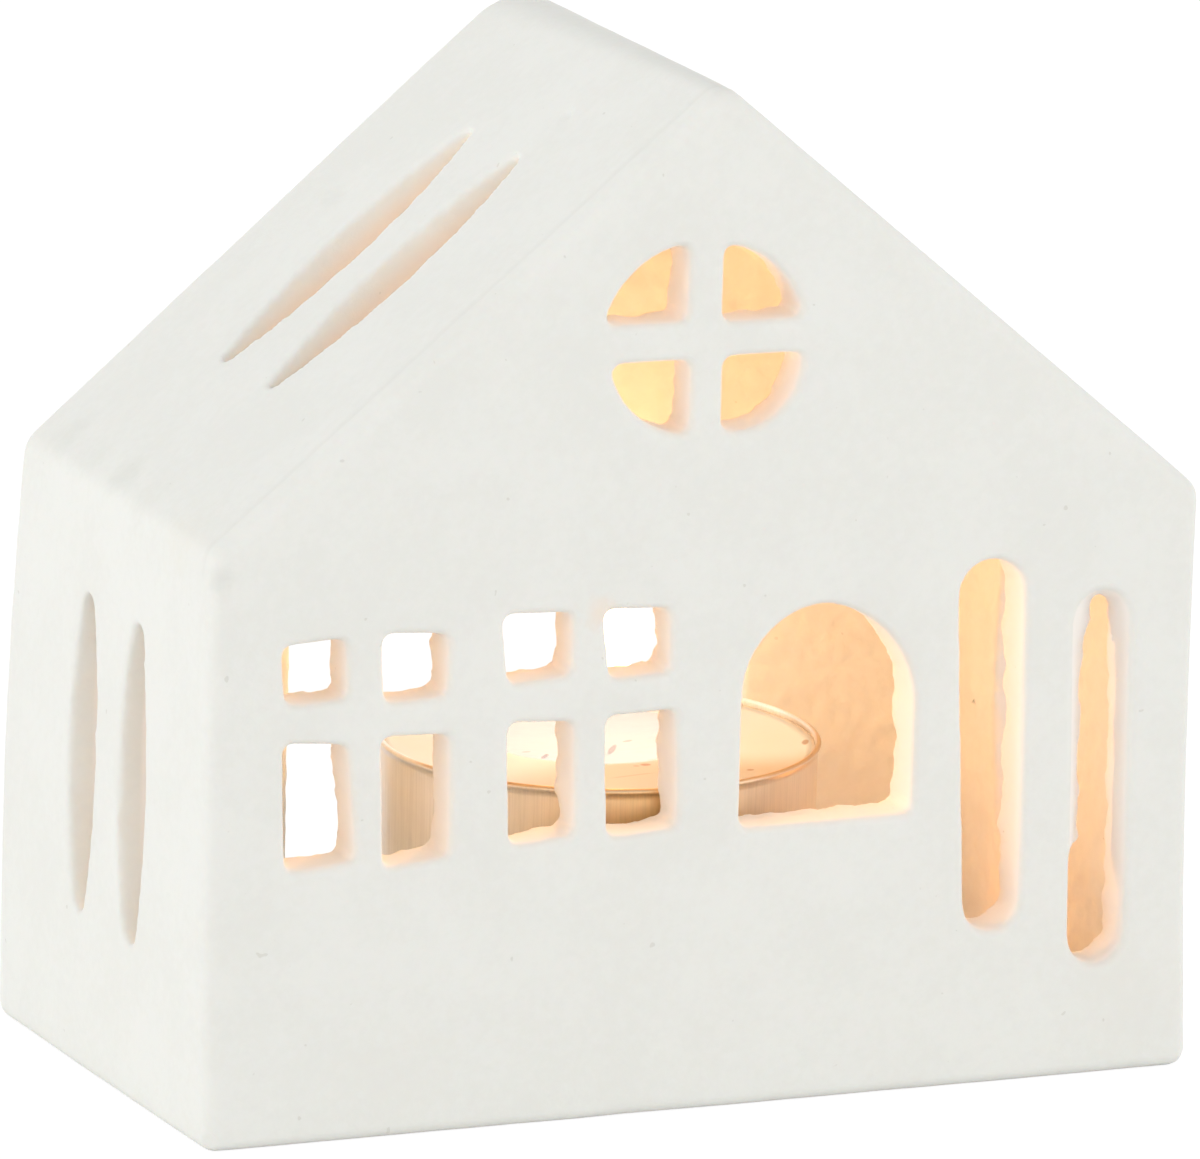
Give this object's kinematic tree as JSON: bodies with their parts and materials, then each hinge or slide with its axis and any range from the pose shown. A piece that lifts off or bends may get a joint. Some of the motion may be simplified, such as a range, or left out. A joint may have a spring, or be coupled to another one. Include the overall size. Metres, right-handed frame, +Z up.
{
  "type": "tealight house",
  "caption": "Small white clay house lantern with cut-out windows, an arch and slots; a tealight slides in through the open back.",
  "frame": {"origin": "on the ground, under the middle of the house's box", "axes": "+Z up, -Y out of the front with the windows, +X to the right seen from the front"},
  "size_m": [0.0958, 0.048, 0.0904],
  "materials": {
    "clay": "matte white bisque, unglazed",
    "cup_foil": "drawn, satin",
    "wax": "soft, translucent paraffin wax",
    "wick": "braided cotton, burnt at the tip",
    "tin": "stamped tinplate"
  },
  "bodies": {
    "house": {"front_wall": "clay", "back_wall": "clay", "left_wall": "clay", "right_wall": "clay", "left_roof": "clay", "right_roof": "clay", "floor": "clay"},
    "tealight": {"tealight_cup": "cup_foil"},
    "candle": {"wax": "wax", "wick": "wick", "wick_sustainer": "tin"}
  },
  "joints": [
    {"name": "tealight_slide", "type": "slide", "parent": "house", "child": "tealight", "axis": [0, 1, 0], "range_m": [0, 0.046]},
    {"name": "candle_lift", "type": "slide", "parent": "tealight", "child": "candle", "axis": [0, 0, 1], "range_m": [0, 0.026]}
  ]
}
